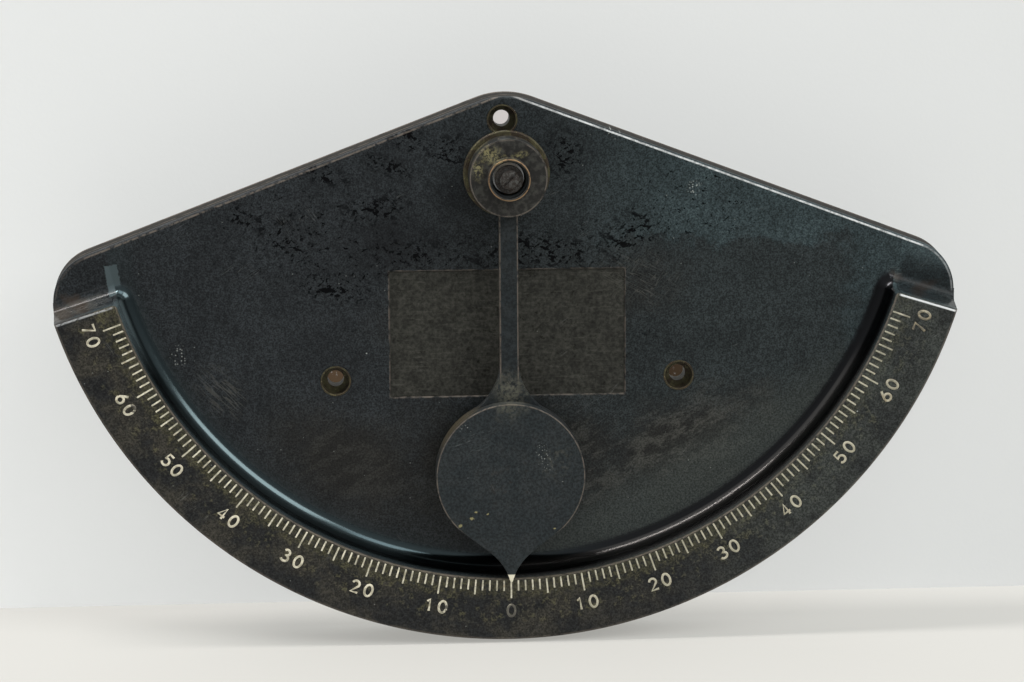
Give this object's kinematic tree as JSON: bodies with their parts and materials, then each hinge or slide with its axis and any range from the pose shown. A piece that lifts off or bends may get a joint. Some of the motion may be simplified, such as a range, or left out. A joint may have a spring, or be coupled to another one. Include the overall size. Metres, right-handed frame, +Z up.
{
  "type": "clinometer",
  "caption": "Bulkhead clinometer: a fan-shaped black case with a raised degree scale and a brass pendulum on a ball bearing that shows the angle of heel",
  "frame": {"origin": "the point where the pivot axis meets the plane of the case's back", "axes": "X runs to the right as one faces the scale, Y runs back along the pivot axis into the bulkhead, Z is up"},
  "size_m": [0.309, 0.0311, 0.1874],
  "materials": {
    "phenolic": "black moulded phenolic, half glossy and half dulled, with worn edges and painted scale marks",
    "bush_brass": "brass tarnished olive",
    "backplate_brass": "brass tarnished olive brown with ochre edges",
    "hub_brass": "brass aged dark brown with a worn lighter rim",
    "inner_brass": "plain turned brass",
    "pendulum_brass": "brass chemically blackened to a dull blue slate with thin worn brown edges",
    "bearing_steel": "ground and polished bearing steel",
    "dark_steel": "darkened turned steel"
  },
  "bodies": {
    "case": {"case": "phenolic", "top_screw_bush": "bush_brass", "left_screw_bush": "bush_brass", "right_screw_bush": "bush_brass", "pivot_backplate": "backplate_brass", "pivot_insert": "inner_brass", "pivot_stud": "dark_steel", "bearing_inner_ring": "bearing_steel", "bearing_spacer": "inner_brass", "retaining_washer": "dark_steel", "pivot_screw": "dark_steel"},
    "ball_set": {"bearing_cage": "inner_brass", "bearing_ball_1": "bearing_steel", "bearing_ball_2": "bearing_steel", "bearing_ball_3": "bearing_steel", "bearing_ball_4": "bearing_steel", "bearing_ball_5": "bearing_steel", "bearing_ball_6": "bearing_steel", "bearing_ball_7": "bearing_steel"},
    "pendulum": {"bearing_outer_ring": "bearing_steel", "hub_housing": "hub_brass", "hub_cap": "hub_brass", "pendulum_arm": "pendulum_brass", "bob_front_plate": "pendulum_brass", "bob_back_plate": "pendulum_brass", "bob_screw_1": "dark_steel", "bob_screw_2": "dark_steel", "bob_screw_3": "dark_steel"}
  },
  "joints": [
    {"name": "pendulum_swing", "type": "hinge", "parent": "case", "child": "pendulum", "pos_m": [0, 0, 0], "axis": [0, 1, 0], "continuous": true},
    {"name": "ball_set_orbit", "type": "hinge", "parent": "case", "child": "ball_set", "pos_m": [0, 0, 0], "axis": [0, 1, 0], "continuous": true}
  ],
  "couplings": [
    {"joint": "ball_set_orbit", "follows": "pendulum_swing", "ratio": 0.625}
  ]
}
